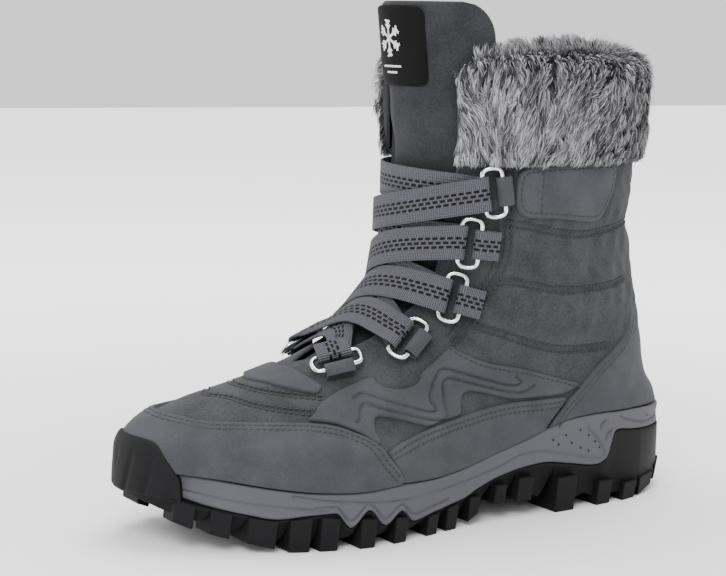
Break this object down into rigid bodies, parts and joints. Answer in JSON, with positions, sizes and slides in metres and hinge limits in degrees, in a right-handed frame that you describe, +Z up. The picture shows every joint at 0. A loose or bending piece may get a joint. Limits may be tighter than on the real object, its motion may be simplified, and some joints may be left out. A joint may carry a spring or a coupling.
{
  "type": "snow boot",
  "caption": "Left ankle-high winter boot with a deep lugged sole, ring and webbing lacing, padded tongue and a faux fur cuff.",
  "frame": {"origin": "centre of the bounding box, on the floor the boot stands on", "axes": "+Z up, -Y towards the toe, +X towards the lateral side of this left boot"},
  "size_m": [0.1097, 0.284, 0.232],
  "materials": {
    "moulded_rubber": "matt moulded rubber",
    "moulded_foam": "matt moulded EVA foam",
    "nubuck": "matt dark grey nubuck",
    "suede": "brushed dark grey suede",
    "felt": "grey felt",
    "faux_fur": "grey deep pile",
    "woven_tape": "ribbed grey polyester tape",
    "chromed_steel": "polished chromed wire",
    "woven_label": "black satin weave"
  },
  "bodies": {
    "root": {"outsole": "moulded_rubber", "toe_bumper": "moulded_rubber", "midsole": "moulded_foam", "insole": "felt", "upper": "suede", "toe_rand": "nubuck", "side_band_lateral": "nubuck", "side_band_medial": "nubuck", "side_overlay_lateral": "nubuck", "side_overlay_medial": "nubuck", "heel_counter": "nubuck", "vamp_tab": "nubuck", "strap_tab": "nubuck", "tongue": "suede", "tongue_label": "woven_label", "fur_cuff": "faux_fur", "webbing": "woven_tape", "ring_lateral_1": "chromed_steel", "keeper_lateral_1": "nubuck", "ring_lateral_2": "chromed_steel", "keeper_lateral_2": "nubuck", "ring_lateral_3": "chromed_steel", "keeper_lateral_3": "nubuck", "ring_lateral_4": "chromed_steel", "keeper_lateral_4": "nubuck", "ring_lateral_5": "chromed_steel", "keeper_lateral_5": "nubuck", "ring_medial_1": "chromed_steel", "keeper_medial_1": "nubuck", "ring_medial_2": "chromed_steel", "keeper_medial_2": "nubuck", "ring_medial_3": "chromed_steel", "keeper_medial_3": "nubuck", "ring_medial_4": "chromed_steel", "keeper_medial_4": "nubuck"}
  },
  "joints": []
}
